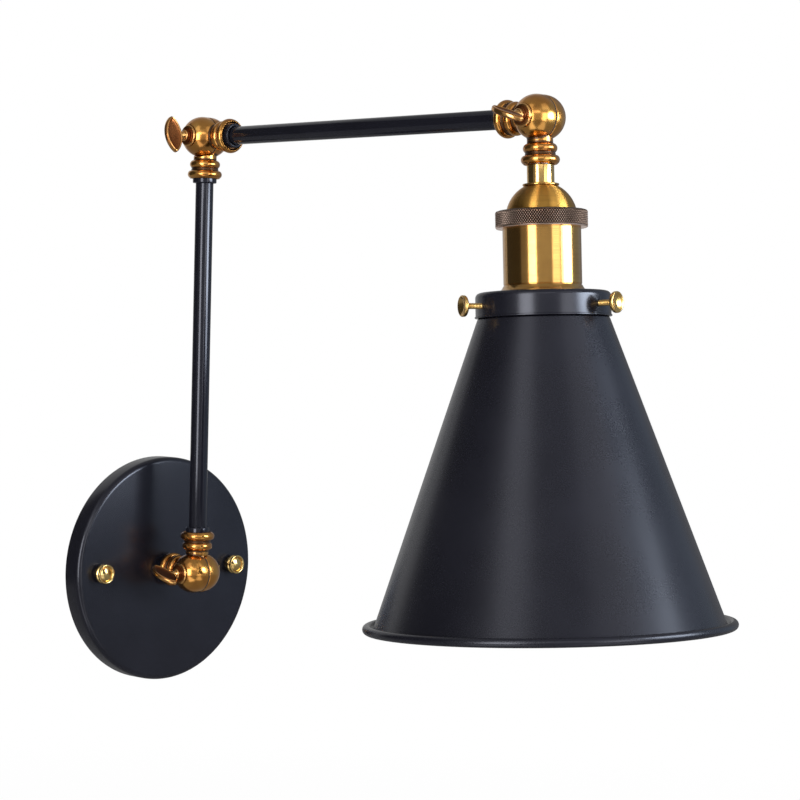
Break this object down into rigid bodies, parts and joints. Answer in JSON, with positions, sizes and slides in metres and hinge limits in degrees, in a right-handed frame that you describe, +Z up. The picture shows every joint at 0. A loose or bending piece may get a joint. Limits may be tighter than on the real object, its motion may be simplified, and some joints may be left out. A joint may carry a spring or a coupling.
{
  "type": "swing arm wall lamp",
  "caption": "Swing arm wall lamp: round canopy, tube arms on thumb-screw knuckles, brass socket and a cone shade.",
  "frame": {"origin": "middle of the canopy's back on the wall plane, midway between the crossbar's wall-screw slots", "axes": "+Y into the wall, -Y out into the room, +Z up, +X to the right of someone facing the wall"},
  "size_m": [0.1832, 0.3929, 0.3213],
  "materials": {
    "black_paint": "satin black powder coat with a slight blue cast",
    "aged_brass": "polished brass with brown patina in the hollows",
    "brushed_brass": "antique brass, brushed round the axis",
    "dark_bronze": "dark bronze, knurled",
    "screw_brass": "worn reddish brass",
    "bright_brass": "bright polished brass",
    "zinc_steel": "zinc plated",
    "green_screw": "green lacquered steel",
    "copper_wire": "bare copper",
    "nylon": "natural nylon",
    "lead_insulation": "black insulation",
    "fibre": "dark vulcanised fibre",
    "porcelain": "glazed porcelain",
    "bulb_metal": "bright aluminium, rolled thread",
    "bulb_glass": "frosted glass"
  },
  "bodies": {
    "wall_base": {"canopy": "black_paint", "mounting_crossbar": "zinc_steel", "crossbar_studs": "zinc_steel", "stud_locknuts": "zinc_steel", "cap_nuts": "bright_brass", "earth_screw": "green_screw", "earth_lead": "copper_wire", "wall_seat_ring": "black_paint", "wall_nipple": "zinc_steel", "nipple_washer": "zinc_steel", "nipple_locknut": "zinc_steel", "nipple_bushing": "nylon", "supply_leads": "lead_insulation", "wall_knuckle_base": "aged_brass", "wall_friction_washer": "fibre"},
    "wall_screw": {"wall_thumb_screw": "screw_brass"},
    "lower_arm": {"wall_knuckle_arm": "aged_brass", "lower_tube": "black_paint", "lower_tube_collars": "black_paint", "lower_bushings": "nylon", "lower_leads": "lead_insulation", "elbow_knuckle_lower": "aged_brass", "elbow_friction_washer": "fibre"},
    "elbow_screw": {"elbow_thumb_screw": "screw_brass"},
    "upper_arm": {"elbow_knuckle_upper": "aged_brass", "upper_tube": "black_paint", "upper_tube_collars": "black_paint", "upper_bushings": "nylon", "upper_leads": "lead_insulation", "head_knuckle_arm": "aged_brass", "head_friction_washer": "fibre"},
    "head_screw": {"head_thumb_screw": "screw_brass"},
    "lamp_head": {"head_knuckle_socket": "aged_brass", "socket_nipple": "zinc_steel", "socket_sleeve": "bright_brass", "socket_washer": "brushed_brass", "socket_cap": "brushed_brass", "knurled_ring": "dark_bronze", "socket_shell": "brushed_brass", "socket_insulator": "porcelain", "terminal_screws": "zinc_steel", "lamp_screw_shell": "bright_brass", "centre_contact": "bright_brass", "socket_leads": "lead_insulation", "shade_gallery": "black_paint", "retaining_ring": "dark_bronze", "shade": "black_paint", "bulb_base": "bulb_metal", "bulb_glass": "bulb_glass"},
    "front_screw": {"shade_screw_front": "bright_brass"},
    "left_screw": {"shade_screw_left": "bright_brass"},
    "right_screw": {"shade_screw_right": "bright_brass"}
  },
  "joints": [
    {"name": "wall_hinge", "type": "hinge", "parent": "wall_base", "child": "lower_arm", "pos_m": [0, -0.0378, 0], "axis": [1, 0, 0], "range_deg": [-3, 95]},
    {"name": "elbow_hinge", "type": "hinge", "parent": "lower_arm", "child": "upper_arm", "pos_m": [0, -0.0378, 0.246], "axis": [1, 0, 0], "range_deg": [-90, 10]},
    {"name": "head_hinge", "type": "hinge", "parent": "upper_arm", "child": "lamp_head", "pos_m": [0, -0.2868, 0.246], "axis": [1, 0, 0], "range_deg": [-90, 20]},
    {"name": "wall_screw_turn", "type": "hinge", "parent": "wall_base", "child": "wall_screw", "pos_m": [0, -0.0378, 0], "axis": [-1, 0, 0], "range_deg": [0, 360]},
    {"name": "elbow_screw_turn", "type": "hinge", "parent": "lower_arm", "child": "elbow_screw", "pos_m": [0, -0.0378, 0.246], "axis": [-1, 0, 0], "range_deg": [0, 360]},
    {"name": "head_screw_turn", "type": "hinge", "parent": "upper_arm", "child": "head_screw", "pos_m": [0, -0.2868, 0.246], "axis": [-1, 0, 0], "range_deg": [0, 360]},
    {"name": "front_screw_turn", "type": "hinge", "parent": "lamp_head", "child": "front_screw", "pos_m": [0, -0.29228, 0.15374], "axis": [0.1045, -0.9928, 0.059], "range_deg": [0, 360]},
    {"name": "left_screw_turn", "type": "hinge", "parent": "lamp_head", "child": "left_screw", "pos_m": [0, -0.29228, 0.15374], "axis": [-0.9135, 0.406, -0.0241], "range_deg": [0, 360]},
    {"name": "right_screw_turn", "type": "hinge", "parent": "lamp_head", "child": "right_screw", "pos_m": [0, -0.29228, 0.15374], "axis": [0.809, 0.5868, -0.0349], "range_deg": [0, 360]}
  ]
}
